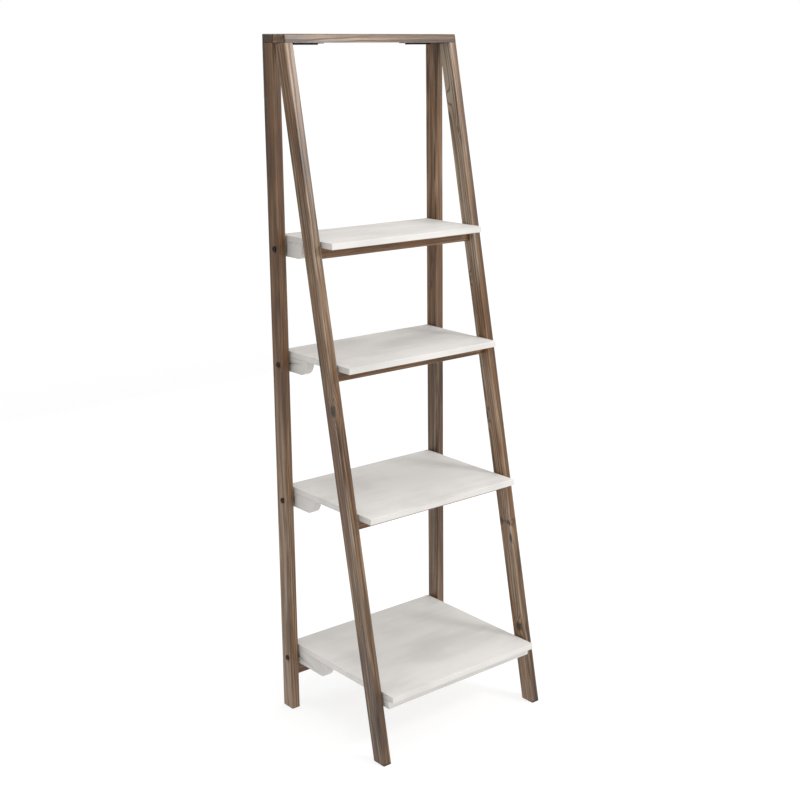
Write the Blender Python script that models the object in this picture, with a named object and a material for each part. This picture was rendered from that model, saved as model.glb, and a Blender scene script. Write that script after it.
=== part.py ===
"""Folding four-tier ladder shelf: an upright rear frame, a leaning front frame and four pivoting shelves.

Metres, +Z up.  X runs across the shelf, -Y is the front, Z = 0 is the floor.  The origin is the
middle of the footprint.  The rear frame stands still; the front frame swings on two butt hinges
under the top rails, and each shelf swings on a pair of bolts through the rear legs.
"""

import math

import bmesh
import bpy
from mathutils import Matrix, Vector

# ---- driving dimensions -------------------------------------------------------------------------
HEIGHT = 1.600
WIDTH = 0.486
DEPTH = 0.402
LEAN = math.radians(11.15)

LEG_THICK = 0.022
LEG_DEPTH = 0.038
CAP_THICK = 0.019
CAP_JOINT_DEPTH = 0.043
FRONT_LEG_STEP = 0.0118
ARRIS = 0.0020
GAP = 0.0003
CUT_PAST = 0.002

SHELF_TOPS = (1.1595, 0.8915, 0.5625, 0.1610)
SHELF_FRONTS = (0.208, 0.262, 0.330, 0.402)
CLEAT_LENGTHS = (0.090, 0.100, 0.114, 0.150)
SHELF_THICK = 0.014
SHELF_INSET = 0.003
SIDE_GAP = 0.0045
SHELF_ARRIS = 0.002

CLEAT_THICK = 0.018
CLEAT_HEIGHT = 0.034
CLEAT_NOSES = (0.014, 0.030, 0.030, 0.030)
CLEAT_HEEL = 0.010
CLEAT_ARRIS = 0.0008

RUNG_HEIGHT = 0.0255
RUNG_THICK = 0.013
RUNG_SETBACK = 0.008
TENON_LENGTH = 0.012
TENON_SHRINK = 0.003

APRON_DEPTH = 0.0275
APRON_HEIGHT = 0.020
APRON_SETBACK = 0.016

RAIL_BOTTOM = 0.081
RAIL_HEIGHT = 0.0225

PIVOT_FROM_BACK = 0.023
PIVOT_BELOW_TOP = 0.030
BOLT_RADIUS = 0.003
BOLT_CLEARANCE = 0.0003
BOLT_HEAD_RADIUS = 0.0065
BOLT_HEAD_HEIGHT = 0.0028
BOLT_HEAD_PROFILE = ((0.0, 1.0), (0.35, 1.0), (0.75, 0.86), (1.0, 0.60))
BOLT_PAST_NUT = 0.003
BOLT_TIP_CHAMFER = 0.0008
HEX_SOCKET_RADIUS = 0.0023
HEX_SOCKET_DEPTH = 0.0016
NUT_RADIUS = 0.0058
NUT_HEIGHT = 0.005
NUT_CHAMFER = 0.0004
WASHER_RADIUS = 0.007
BOLT_SIDES = 16

HINGE_INNER_X = 0.125
HINGE_LENGTH = 0.075
HINGE_LEAF_WIDTH = 0.024
HINGE_LEAF_THICK = 0.0014
HINGE_BARREL_RADIUS = 0.0022
HINGE_PIN_RADIUS = 0.0011
HINGE_PIN_CLEARANCE = 0.00015
HINGE_KNUCKLES = 5
HINGE_NOTCH = 0.0006
HINGE_SCREW_RADIUS = 0.0021
HINGE_COUNTERSINK_RADIUS = 0.0035
HINGE_COUNTERSINK_SHARE = 0.6
HINGE_SCREW_PLACES = ((0.15, 0.55), (0.50, 0.72), (0.85, 0.55))
HINGE_SIDES = 14
SCREW_HOLE_SIDES = 12

# ---- places that follow from them ---------------------------------------------------------------
BACK_Y = DEPTH / 2
LEG_INNER_X = WIDTH / 2 - LEG_THICK
SHELF_HALF = LEG_INNER_X - SIDE_GAP
CAP_BOTTOM = HEIGHT - CAP_THICK
LEG_TOP = CAP_BOTTOM - GAP
CAP_JOINT_Y = BACK_Y - CAP_JOINT_DEPTH
FRONT_LEG_LEVEL_DEPTH = LEG_DEPTH / math.cos(LEAN)
PIVOT_Y = BACK_Y - PIVOT_FROM_BACK
SHELF_BACK_Y = BACK_Y - SHELF_INSET
HINGE_AXIS = Vector((0, CAP_JOINT_Y - GAP / 2, CAP_BOTTOM - GAP - HINGE_BARREL_RADIUS))
SIDES = (("left", -1), ("right", 1))
EASED_ANGLE = math.radians(50)
TURNED_ANGLE = math.radians(35)

WOOD = ("stained_wood", (0.205, 0.142, 0.098), 0.62, 0.0)
WHITEWASH = ("whitewashed_wood", (0.78, 0.76, 0.73), 0.55, 0.0)
BLACK_METAL = ("black_metal", (0.035, 0.032, 0.030), 0.42, 0.85)


# ---- scene helpers ------------------------------------------------------------------------------
def clear_scene():
    for obj in list(bpy.data.objects):
        bpy.data.objects.remove(obj, do_unlink=True)


def material(finish):
    name, colour, roughness, metallic = finish
    mat = bpy.data.materials.get(name)
    if mat:
        return mat
    mat = bpy.data.materials.new(name)
    mat.use_nodes = True
    shader = mat.node_tree.nodes["Principled BSDF"]
    shader.inputs["Base Color"].default_value = (*colour, 1.0)
    shader.inputs["Roughness"].default_value = roughness
    shader.inputs["Metallic"].default_value = metallic
    mat.diffuse_color = (*colour, 1.0)
    return mat


def pivot_empty(name, place):
    """An empty on a joint's axis, which carries the pieces that turn about it."""
    empty = bpy.data.objects.new(name, None)
    empty.empty_display_size = 0.05
    empty.location = place
    bpy.context.scene.collection.objects.link(empty)
    return empty


def add_piece(name, mesh, finish, carrier=None):
    """Links a mesh given in world places, and hangs it on its carrier with its origin on the axis."""
    mesh.materials.append(material(finish))
    obj = bpy.data.objects.new(name, mesh)
    bpy.context.scene.collection.objects.link(obj)
    if carrier:
        mesh.transform(Matrix.Translation(-carrier.location))
        obj.parent = carrier
    return obj


def add_cutter(name, mesh, carrier=None):
    obj = bpy.data.objects.new(name, mesh)
    bpy.context.scene.collection.objects.link(obj)
    obj.hide_render = True
    obj.display_type = "WIRE"
    if carrier:
        mesh.transform(Matrix.Translation(-carrier.location))
        obj.parent = carrier
    return obj


def round_arrises(obj, width, segments=2):
    bevel = obj.modifiers.new("eased_edges", "BEVEL")
    bevel.width = width
    bevel.segments = segments
    bevel.limit_method = "ANGLE"
    bevel.angle_limit = EASED_ANGLE
    return bevel


def cut_away(obj, cutter):
    boolean = obj.modifiers.new(cutter.name, "BOOLEAN")
    boolean.operation = "DIFFERENCE"
    boolean.solver = "EXACT"
    boolean.object = cutter


def finish_mesh(bm, name, smooth_angle=None):
    bmesh.ops.recalc_face_normals(bm, faces=bm.faces)
    mesh = bpy.data.meshes.new(name)
    bm.to_mesh(mesh)
    bm.free()
    if smooth_angle:
        mesh.shade_smooth()
        mesh.set_sharp_from_angle(angle=smooth_angle)
    return mesh


# ---- shapes -------------------------------------------------------------------------------------
def side_profile_mesh(name, outline, x_low, x_high):
    """A closed outline of (y, z) points, extruded across from x_low to x_high."""
    bm = bmesh.new()
    face = bm.faces.new([bm.verts.new((x_low, y, z)) for y, z in outline])
    swept = bmesh.ops.extrude_face_region(bm, geom=[face])
    moved = [v for v in swept["geom"] if isinstance(v, bmesh.types.BMVert)]
    bmesh.ops.translate(bm, verts=moved, vec=(x_high - x_low, 0, 0))
    return finish_mesh(bm, name)


def box_mesh(name, low, high):
    outline = ((low[1], low[2]), (high[1], low[2]), (high[1], high[2]), (low[1], high[2]))
    return side_profile_mesh(name, outline, low[0], high[0])


def add_drum(bm, radius, x_low, x_high, y, z, sides, radius_high=None):
    """A cylinder or cone along X between two places."""
    length = x_high - x_low
    place = Matrix.Translation(((x_low + x_high) / 2, y, z)) @ Matrix.Rotation(math.pi / 2, 4, "Y")
    bmesh.ops.create_cone(
        bm,
        cap_ends=True,
        segments=sides,
        radius1=radius,
        radius2=radius if radius_high is None else radius_high,
        depth=length,
        matrix=place,
    )


def drum_mesh(name, radius, x_low, x_high, y, z, sides=BOLT_SIDES):
    bm = bmesh.new()
    add_drum(bm, radius, x_low, x_high, y, z, sides)
    return finish_mesh(bm, name, TURNED_ANGLE)


def turned_mesh(name, profile, y, z, sides=BOLT_SIDES, close=False):
    """A profile of (x, radius) points turned about the X line through (y, z).

    An open profile starts and ends on the axis; a closed one is a ring clear of the axis.
    """
    bm = bmesh.new()
    points = [bm.verts.new((x, y + radius, z)) for x, radius in profile]
    edges = [bm.edges.new(pair) for pair in zip(points, points[1:])]
    if close:
        edges.append(bm.edges.new((points[-1], points[0])))
    bmesh.ops.spin(
        bm,
        geom=points + edges,
        cent=(0, y, z),
        axis=(1, 0, 0),
        angle=math.tau,
        steps=sides,
        use_merge=True,
    )
    bmesh.ops.remove_doubles(bm, verts=bm.verts, dist=1e-6)
    return finish_mesh(bm, name, TURNED_ANGLE)


# ---- the leaning plane of the front frame -------------------------------------------------------
def front_leg_back_y(z):
    """Where the rear face of the front legs is at height z."""
    return BACK_Y - LEG_DEPTH - FRONT_LEG_STEP - (CAP_BOTTOM - z) * math.tan(LEAN)


def leaning_outline(z_low, z_high, setback, thick):
    """A bar's (y, z) section: level above and below, leaning with the front legs in front and behind."""
    return (
        (front_leg_back_y(z_low) - setback, z_low),
        (front_leg_back_y(z_high) - setback, z_high),
        (front_leg_back_y(z_high) - setback - thick, z_high),
        (front_leg_back_y(z_low) - setback - thick, z_low),
    )


def inset_outline(outline, inset):
    """The outline of a four-sided bar drawn in towards its middle by a share of each half side."""
    middle_y = sum(y for y, _ in outline) / len(outline)
    middle_z = sum(z for _, z in outline) / len(outline)
    half_y = (max(y for y, _ in outline) - min(y for y, _ in outline)) / 2
    half_z = (max(z for _, z in outline) - min(z for _, z in outline)) / 2
    share_y = 1 - inset / half_y
    share_z = 1 - inset / half_z
    return [(middle_y + (y - middle_y) * share_y, middle_z + (z - middle_z) * share_z) for y, z in outline]


# ---- tenoned bars between a pair of legs --------------------------------------------------------
def tenoned_bar(name, outline, legs, carrier=None):
    """A bar between two legs, with a stub tenon at each end and a mortise cut for it in each leg."""
    tenon = inset_outline(outline, TENON_SHRINK)
    shoulder = LEG_INNER_X - GAP
    reach = LEG_INNER_X + TENON_LENGTH
    bar = add_piece(name, side_profile_mesh(name, outline, -shoulder, shoulder), WOOD, carrier)
    round_arrises(bar, ARRIS)
    tongue_mesh = side_profile_mesh(name + "_tongue", tenon, -reach, reach)
    tongue = add_cutter(name + "_tongue", tongue_mesh, carrier)
    union = bar.modifiers.new("tenons", "BOOLEAN")
    union.operation = "UNION"
    union.solver = "EXACT"
    union.object = tongue
    mortise = inset_outline(outline, TENON_SHRINK - GAP)
    for (side, sign), leg in zip(SIDES, legs):
        ends = sorted((sign * (LEG_INNER_X - CUT_PAST), sign * (reach + GAP)))
        cutter_name = f"{name}_mortise_{side}"
        cutter = add_cutter(cutter_name, side_profile_mesh(cutter_name, mortise, *ends), carrier)
        cut_away(leg, cutter)
    return bar


# ---- rear frame ---------------------------------------------------------------------------------
def rear_leg(side, sign):
    name = f"rear_leg_{side}"
    ends = sorted((sign * LEG_INNER_X, sign * WIDTH / 2))
    outline = ((BACK_Y, 0), (BACK_Y, LEG_TOP), (BACK_Y - LEG_DEPTH, LEG_TOP), (BACK_Y - LEG_DEPTH, 0))
    leg = add_piece(name, side_profile_mesh(name, outline, *ends), WOOD)
    round_arrises(leg, ARRIS)
    for number, top in enumerate(SHELF_TOPS, 1):
        cutter_name = f"{name}_bolt_hole_{number}"
        hole = drum_mesh(
            cutter_name,
            BOLT_RADIUS + BOLT_CLEARANCE,
            ends[0] - CUT_PAST,
            ends[1] + CUT_PAST,
            PIVOT_Y,
            top - PIVOT_BELOW_TOP,
        )
        cut_away(leg, add_cutter(cutter_name, hole))
    return leg


def rear_frame():
    legs = [rear_leg(side, sign) for side, sign in SIDES]
    rail_middle = BACK_Y - LEG_DEPTH / 2
    rail_back, rail_front = rail_middle + RUNG_THICK / 2, rail_middle - RUNG_THICK / 2
    rail_top = RAIL_BOTTOM + RAIL_HEIGHT
    outline = (
        (rail_back, RAIL_BOTTOM),
        (rail_back, rail_top),
        (rail_front, rail_top),
        (rail_front, RAIL_BOTTOM),
    )
    tenoned_bar("rear_bottom_rail", outline, legs)
    low = (-WIDTH / 2, CAP_JOINT_Y, CAP_BOTTOM)
    cap = add_piece("rear_top_rail", box_mesh("rear_top_rail", low, (WIDTH / 2, BACK_Y, HEIGHT)), WOOD)
    round_arrises(cap, ARRIS)


# ---- front frame --------------------------------------------------------------------------------
def front_leg(side, sign, carrier):
    name = f"front_leg_{side}"
    ends = sorted((sign * LEG_INNER_X, sign * WIDTH / 2))
    outline = leaning_outline(0, LEG_TOP, 0, FRONT_LEG_LEVEL_DEPTH)
    leg = add_piece(name, side_profile_mesh(name, outline, *ends), WOOD, carrier)
    round_arrises(leg, ARRIS)
    return leg


def front_top_rail(carrier):
    """The rail's front face leans on in line with the legs; its back face meets the rear top rail."""
    front_low = front_leg_back_y(CAP_BOTTOM) - FRONT_LEG_LEVEL_DEPTH
    front_high = front_leg_back_y(HEIGHT) - FRONT_LEG_LEVEL_DEPTH
    back = CAP_JOINT_Y - GAP
    outline = ((back, CAP_BOTTOM), (back, HEIGHT), (front_high, HEIGHT), (front_low, CAP_BOTTOM))
    mesh = side_profile_mesh("front_top_rail", outline, -WIDTH / 2, WIDTH / 2)
    round_arrises(add_piece("front_top_rail", mesh, WOOD, carrier), ARRIS)


def front_frame(carrier):
    legs = [front_leg(side, sign, carrier) for side, sign in SIDES]
    for number, top in enumerate(SHELF_TOPS, 1):
        z_high = top - SHELF_THICK - GAP
        outline = leaning_outline(z_high - RUNG_HEIGHT, z_high, RUNG_SETBACK, RUNG_THICK)
        tenoned_bar(f"rung_{number}", outline, legs, carrier)
    front_top_rail(carrier)


# ---- shelves ------------------------------------------------------------------------------------
def arc(centre_y, centre_z, radius, start, end, steps):
    """Points on a quarter of a circle, at angles in degrees from +Y towards +Z."""
    angles = [math.radians(start + (end - start) * step / steps) for step in range(steps + 1)]
    return [(centre_y + radius * math.cos(a), centre_z + radius * math.sin(a)) for a in angles]


def cleat_outline(top, length, nose):
    """A level bar with a round nose at its lower front corner and a smaller round at its heel."""
    high = top - SHELF_THICK - GAP
    low = high - CLEAT_HEIGHT
    front_y = SHELF_BACK_Y - length
    heel_y = SHELF_BACK_Y - CLEAT_HEEL
    nose_points = arc(front_y + nose, low + nose, nose, 180, 270, 10)
    heel_points = arc(heel_y, low + CLEAT_HEEL, CLEAT_HEEL, 270, 360, 5)
    return [(front_y, high), *nose_points, *heel_points, (SHELF_BACK_Y, high)]


def cleat(number, side, sign, outline, pivot_z, carrier):
    name = f"shelf_{number}_cleat_{side}"
    ends = sorted((sign * SHELF_HALF, sign * (SHELF_HALF - CLEAT_THICK)))
    piece = add_piece(name, side_profile_mesh(name, outline, *ends), WHITEWASH, carrier)
    round_arrises(piece, CLEAT_ARRIS, 1)
    cutter_name = name + "_bolt_hole"
    bore_radius = BOLT_RADIUS + BOLT_CLEARANCE
    hole = drum_mesh(cutter_name, bore_radius, ends[0] - CUT_PAST, ends[1] + CUT_PAST, PIVOT_Y, pivot_z)
    cut_away(piece, add_cutter(cutter_name, hole, carrier))


def shelf_board(number, top, front, carrier):
    name = f"shelf_{number}_board"
    low = (-SHELF_HALF, BACK_Y - front, top - SHELF_THICK)
    board = add_piece(name, box_mesh(name, low, (SHELF_HALF, SHELF_BACK_Y, top)), WHITEWASH, carrier)
    round_arrises(board, SHELF_ARRIS, 3)


def shelf_apron(number, top, front, carrier):
    """The bar under a shelf's front edge, which drops in front of the bottom rung."""
    name = f"shelf_{number}_apron"
    high = top - SHELF_THICK - GAP
    front_y = BACK_Y - front + APRON_SETBACK
    low = (-SHELF_HALF, front_y, high - APRON_HEIGHT)
    mesh = box_mesh(name, low, (SHELF_HALF, front_y + APRON_DEPTH, high))
    round_arrises(add_piece(name, mesh, WHITEWASH, carrier), ARRIS)


def pivot_bolt(number, side, sign, z):
    """A domed bolt head outside the leg, with a hexagon socket, and a shank through leg and cleat."""
    name = f"shelf_{number}_bolt_{side}"
    seat = WIDTH / 2 + GAP
    end = SHELF_HALF - CLEAT_THICK - NUT_HEIGHT - BOLT_PAST_NUT
    crown = seat + BOLT_HEAD_HEIGHT
    profile = [
        (end, 0),
        (end, BOLT_RADIUS - BOLT_TIP_CHAMFER),
        (end + BOLT_TIP_CHAMFER, BOLT_RADIUS),
        (seat, BOLT_RADIUS),
        *((seat + BOLT_HEAD_HEIGHT * up, BOLT_HEAD_RADIUS * out) for up, out in BOLT_HEAD_PROFILE),
        (crown, 0),
    ]
    mesh = turned_mesh(name, [(sign * x, radius) for x, radius in profile], PIVOT_Y, z)
    bolt = add_piece(name, mesh, BLACK_METAL)
    cutter_name = name + "_socket"
    ends = sorted((sign * (crown - HEX_SOCKET_DEPTH), sign * (crown + CUT_PAST)))
    socket = drum_mesh(cutter_name, HEX_SOCKET_RADIUS, *ends, PIVOT_Y, z, 6)
    cut_away(bolt, add_cutter(cutter_name, socket))


def washer(number, side, sign, z):
    """The spacer that holds the cleat clear of the leg."""
    name = f"shelf_{number}_washer_{side}"
    inner, outer = SHELF_HALF + GAP, LEG_INNER_X - GAP
    bore = BOLT_RADIUS + BOLT_CLEARANCE
    ring = [(inner, bore), (outer, bore), (outer, WASHER_RADIUS), (inner, WASHER_RADIUS)]
    mesh = turned_mesh(name, [(sign * x, radius) for x, radius in ring], PIVOT_Y, z, close=True)
    add_piece(name, mesh, BLACK_METAL)


def nut(number, side, sign, z):
    """A hexagon nut on the cleat's inner face."""
    name = f"shelf_{number}_nut_{side}"
    seat = SHELF_HALF - CLEAT_THICK - GAP
    ends = sorted((sign * seat, sign * (seat - NUT_HEIGHT)))
    piece = add_piece(name, drum_mesh(name, NUT_RADIUS, *ends, PIVOT_Y, z, 6), BLACK_METAL)
    round_arrises(piece, NUT_CHAMFER, 1)
    bore_ends = (ends[0] - CUT_PAST, ends[1] + CUT_PAST)
    cutter_name = name + "_bore"
    bore = drum_mesh(cutter_name, BOLT_RADIUS + BOLT_CLEARANCE / 2, *bore_ends, PIVOT_Y, z)
    cut_away(piece, add_cutter(cutter_name, bore))


def shelves():
    rows = zip(SHELF_TOPS, SHELF_FRONTS, CLEAT_LENGTHS, CLEAT_NOSES)
    for number, (top, front, length, nose) in enumerate(rows, 1):
        pivot_z = top - PIVOT_BELOW_TOP
        carrier = pivot_empty(f"shelf_{number}_pivot", (0, PIVOT_Y, pivot_z))
        shelf_board(number, top, front, carrier)
        outline = cleat_outline(top, length, nose)
        for side, sign in SIDES:
            cleat(number, side, sign, outline, pivot_z, carrier)
            pivot_bolt(number, side, sign, pivot_z)
            washer(number, side, sign, pivot_z)
            nut(number, side, sign, pivot_z)
        if number == len(SHELF_TOPS):
            shelf_apron(number, top, front, carrier)


# ---- hinges -------------------------------------------------------------------------------------
def knuckle_span(index, x_start):
    """The two ends of one knuckle, with a small gap to the knuckles beside it."""
    length = HINGE_LENGTH / HINGE_KNUCKLES
    start = x_start + index * length
    return start + GAP / 2, start + length - GAP / 2


def hinge_leaf(name, x_start, own, away, carrier):
    """A screwed plate with its knuckles; own says which knuckles it carries, away is its Y direction."""
    axis_y, axis_z = HINGE_AXIS.y, HINGE_AXIS.z
    plate_top = CAP_BOTTOM - GAP
    edges = sorted((axis_y + away * GAP, axis_y + away * HINGE_LEAF_WIDTH))
    low = (x_start, edges[0], plate_top - HINGE_LEAF_THICK)
    plate = box_mesh(name, low, (x_start + HINGE_LENGTH, edges[1], plate_top))
    leaf = add_piece(name, plate, BLACK_METAL, carrier)
    for index in range(HINGE_KNUCKLES):
        x_low, x_high = knuckle_span(index, x_start)
        if index in own:
            barrel_name = f"{name}_knuckle_{index}"
            barrel = drum_mesh(barrel_name, HINGE_BARREL_RADIUS, x_low, x_high, axis_y, axis_z, HINGE_SIDES)
            union = leaf.modifiers.new(barrel_name, "BOOLEAN")
            union.operation = "UNION"
            union.solver = "EXACT"
            union.object = add_cutter(barrel_name, barrel, carrier)
            continue
        notch_name = f"{name}_notch_{index}"
        reach = HINGE_BARREL_RADIUS + HINGE_NOTCH
        notch_low = (x_low - GAP, axis_y - reach, axis_z - reach)
        notch_high = (x_high + GAP, axis_y + reach, plate_top + CUT_PAST)
        cut_away(leaf, add_cutter(notch_name, box_mesh(notch_name, notch_low, notch_high), carrier))
    bore_name = name + "_bore"
    bore_ends = (x_start - CUT_PAST, x_start + HINGE_LENGTH + CUT_PAST)
    bore_radius = HINGE_PIN_RADIUS + HINGE_PIN_CLEARANCE
    bore = drum_mesh(bore_name, bore_radius, *bore_ends, axis_y, axis_z, HINGE_SIDES)
    cut_away(leaf, add_cutter(bore_name, bore, carrier))
    for step, (along, across) in enumerate(HINGE_SCREW_PLACES):
        hole_name = f"{name}_screw_hole_{step}"
        hole_x = x_start + HINGE_LENGTH * along
        hole_y = axis_y + away * HINGE_LEAF_WIDTH * across
        cut_away(leaf, add_cutter(hole_name, screw_hole_mesh(hole_name, hole_x, hole_y, plate_top), carrier))


def screw_hole_mesh(name, x, y, top):
    """A hole along Z with a countersink that opens downwards."""
    bottom = top - HINGE_LEAF_THICK
    bm = bmesh.new()
    rings = (
        (top + CUT_PAST, HINGE_SCREW_RADIUS),
        (bottom + HINGE_LEAF_THICK * HINGE_COUNTERSINK_SHARE, HINGE_SCREW_RADIUS),
        (bottom, HINGE_COUNTERSINK_RADIUS),
        (bottom - CUT_PAST, HINGE_COUNTERSINK_RADIUS),
    )
    points = [bm.verts.new((x + radius, y, z)) for z, radius in ((rings[0][0], 0), *rings, (rings[-1][0], 0))]
    edges = [bm.edges.new(pair) for pair in zip(points, points[1:])]
    bmesh.ops.spin(
        bm,
        geom=points + edges,
        cent=(x, y, 0),
        axis=(0, 0, 1),
        angle=math.tau,
        steps=SCREW_HOLE_SIDES,
        use_merge=True,
    )
    bmesh.ops.remove_doubles(bm, verts=bm.verts, dist=1e-6)
    return finish_mesh(bm, name)


def hinges(carrier):
    rear_knuckles = {0, 2, 4}
    front_knuckles = {1, 3}
    for side, sign in SIDES:
        x_start = min(sign * HINGE_INNER_X, sign * (HINGE_INNER_X + HINGE_LENGTH))
        hinge_leaf(f"hinge_{side}_rear_leaf", x_start, rear_knuckles, 1, None)
        hinge_leaf(f"hinge_{side}_front_leaf", x_start, front_knuckles, -1, carrier)
        name = f"hinge_{side}_pin"
        ends = (x_start - GAP, x_start + HINGE_LENGTH + GAP)
        pin = drum_mesh(name, HINGE_PIN_RADIUS, *ends, HINGE_AXIS.y, HINGE_AXIS.z, HINGE_SIDES)
        add_piece(name, pin, BLACK_METAL)


def main():
    clear_scene()
    front_carrier = pivot_empty("front_frame_pivot", HINGE_AXIS)
    rear_frame()
    front_frame(front_carrier)
    hinges(front_carrier)
    shelves()


main()
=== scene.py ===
"""Looks of a folding four-tier ladder shelf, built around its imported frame.

Metres, +Z up.  X runs across the shelf, -Y is the front and the floor is at Z = 0.  Every timber
piece is a softly rounded prism swept from a section whose corners come from the frame, and takes a
stained or a whitewashed wood finish; the bolts and screws are turned surfaces.
"""
import logging
import math
from dataclasses import dataclass, field
from enum import Enum
from typing import Any, Sequence

import bpy
import numpy as np
from mathutils import Euler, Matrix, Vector


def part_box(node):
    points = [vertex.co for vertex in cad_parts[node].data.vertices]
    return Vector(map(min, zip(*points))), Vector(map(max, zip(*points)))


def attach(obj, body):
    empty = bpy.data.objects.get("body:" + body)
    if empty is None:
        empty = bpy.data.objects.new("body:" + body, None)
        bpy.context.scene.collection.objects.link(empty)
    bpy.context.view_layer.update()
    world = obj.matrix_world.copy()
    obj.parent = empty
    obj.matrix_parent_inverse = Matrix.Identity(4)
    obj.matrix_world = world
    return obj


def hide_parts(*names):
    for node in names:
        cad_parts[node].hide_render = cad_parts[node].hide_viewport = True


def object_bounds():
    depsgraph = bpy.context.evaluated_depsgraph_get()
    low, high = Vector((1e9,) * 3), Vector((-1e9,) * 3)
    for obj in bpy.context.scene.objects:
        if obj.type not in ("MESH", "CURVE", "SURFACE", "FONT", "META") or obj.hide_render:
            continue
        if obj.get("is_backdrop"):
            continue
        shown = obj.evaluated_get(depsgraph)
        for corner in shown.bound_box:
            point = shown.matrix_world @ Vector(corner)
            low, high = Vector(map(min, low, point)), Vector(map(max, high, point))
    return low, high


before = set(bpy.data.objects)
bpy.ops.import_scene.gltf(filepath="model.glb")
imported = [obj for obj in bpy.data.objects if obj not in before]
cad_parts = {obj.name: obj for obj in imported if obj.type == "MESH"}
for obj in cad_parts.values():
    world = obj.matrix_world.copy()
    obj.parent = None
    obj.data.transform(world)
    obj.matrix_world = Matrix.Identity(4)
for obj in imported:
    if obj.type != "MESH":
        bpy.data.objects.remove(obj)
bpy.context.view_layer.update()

REAR, FRONT = "rear_frame", "front_frame"
NUMBERS = range(1, 5)  # of the shelves and of the rungs, from the top down
TAU = math.tau

log = logging.getLogger("ladder_shelf")


# ---- named choices ------------------------------------------------------------------------------
class Side(Enum):
    """The two sides of the shelf, with the sign of their X."""

    LEFT = -1
    RIGHT = 1

    @property
    def word(self) -> str:
        """The side's name inside a piece's name."""
        return self.name.lower()


class Run(Enum):
    """The way a piece's grain runs."""

    UPRIGHT = "up the rear legs"
    LEANING = "up the front legs"
    ACROSS = "from side to side"


class Bar(Enum):
    """The kinds of timber that run from side to side."""

    TOP_RAIL = "over the legs"
    BOTTOM_RAIL = "between the rear legs"
    RUNG = "between the front legs, under a shelf"


# ---- shader sheets ------------------------------------------------------------------------------
@dataclass(frozen=True)
class Colour:
    """A paint colour, written as on a paint card.

    Attributes:
        code: "#" and two hexadecimal digits each for red, green and blue.
    """

    code: str

    @property
    def linear(self) -> tuple[float, float, float, float]:
        """The colour in linear light, with full cover.

        Returns:
            Red, green, blue and 1.
        """
        shares = (int(self.code[at : at + 2], 16) / 255 for at in (1, 3, 5))
        light = (s / 12.92 if s <= 0.04045 else ((s + 0.055) / 1.055) ** 2.4 for s in shares)
        return (*light, 1.0)

    def towards(self, other: "Colour", share: float) -> "Colour":
        """The colour part of the way to another.

        Args:
            other: the colour at share 1.
            share: how far to go, from 0 to 1.

        Returns:
            The blended colour.
        """
        pairs = ((int(self.code[at : at + 2], 16), int(other.code[at : at + 2], 16)) for at in (1, 3, 5))
        return Colour("#" + "".join(f"{round(own + (far - own) * share):02x}" for own, far in pairs))


@dataclass(frozen=True)
class Signal:
    """An output socket of a shader node; arithmetic on it adds Math nodes.

    Attributes:
        sheet: the sheet that the node is on.
        socket: the socket.
    """

    sheet: "ShaderSheet"
    socket: bpy.types.NodeSocket

    def __add__(self, other: "Signal | float") -> "Signal":
        """This plus the other."""
        return self.sheet.math("ADD", self, other)

    def __sub__(self, other: "Signal | float") -> "Signal":
        """This less the other."""
        return self.sheet.math("SUBTRACT", self, other)

    def __rsub__(self, other: float) -> "Signal":
        """The other less this."""
        return self.sheet.math("SUBTRACT", other, self)

    def __mul__(self, other: "Signal | float") -> "Signal":
        """This times the other."""
        return self.sheet.math("MULTIPLY", self, other)

    def __truediv__(self, other: "Signal | float") -> "Signal":
        """This over the other."""
        return self.sheet.math("DIVIDE", self, other)

    def __pow__(self, power: float) -> "Signal":
        """This to a power."""
        return self.sheet.math("POWER", self, power)

    __radd__ = __add__
    __rmul__ = __mul__


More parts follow.
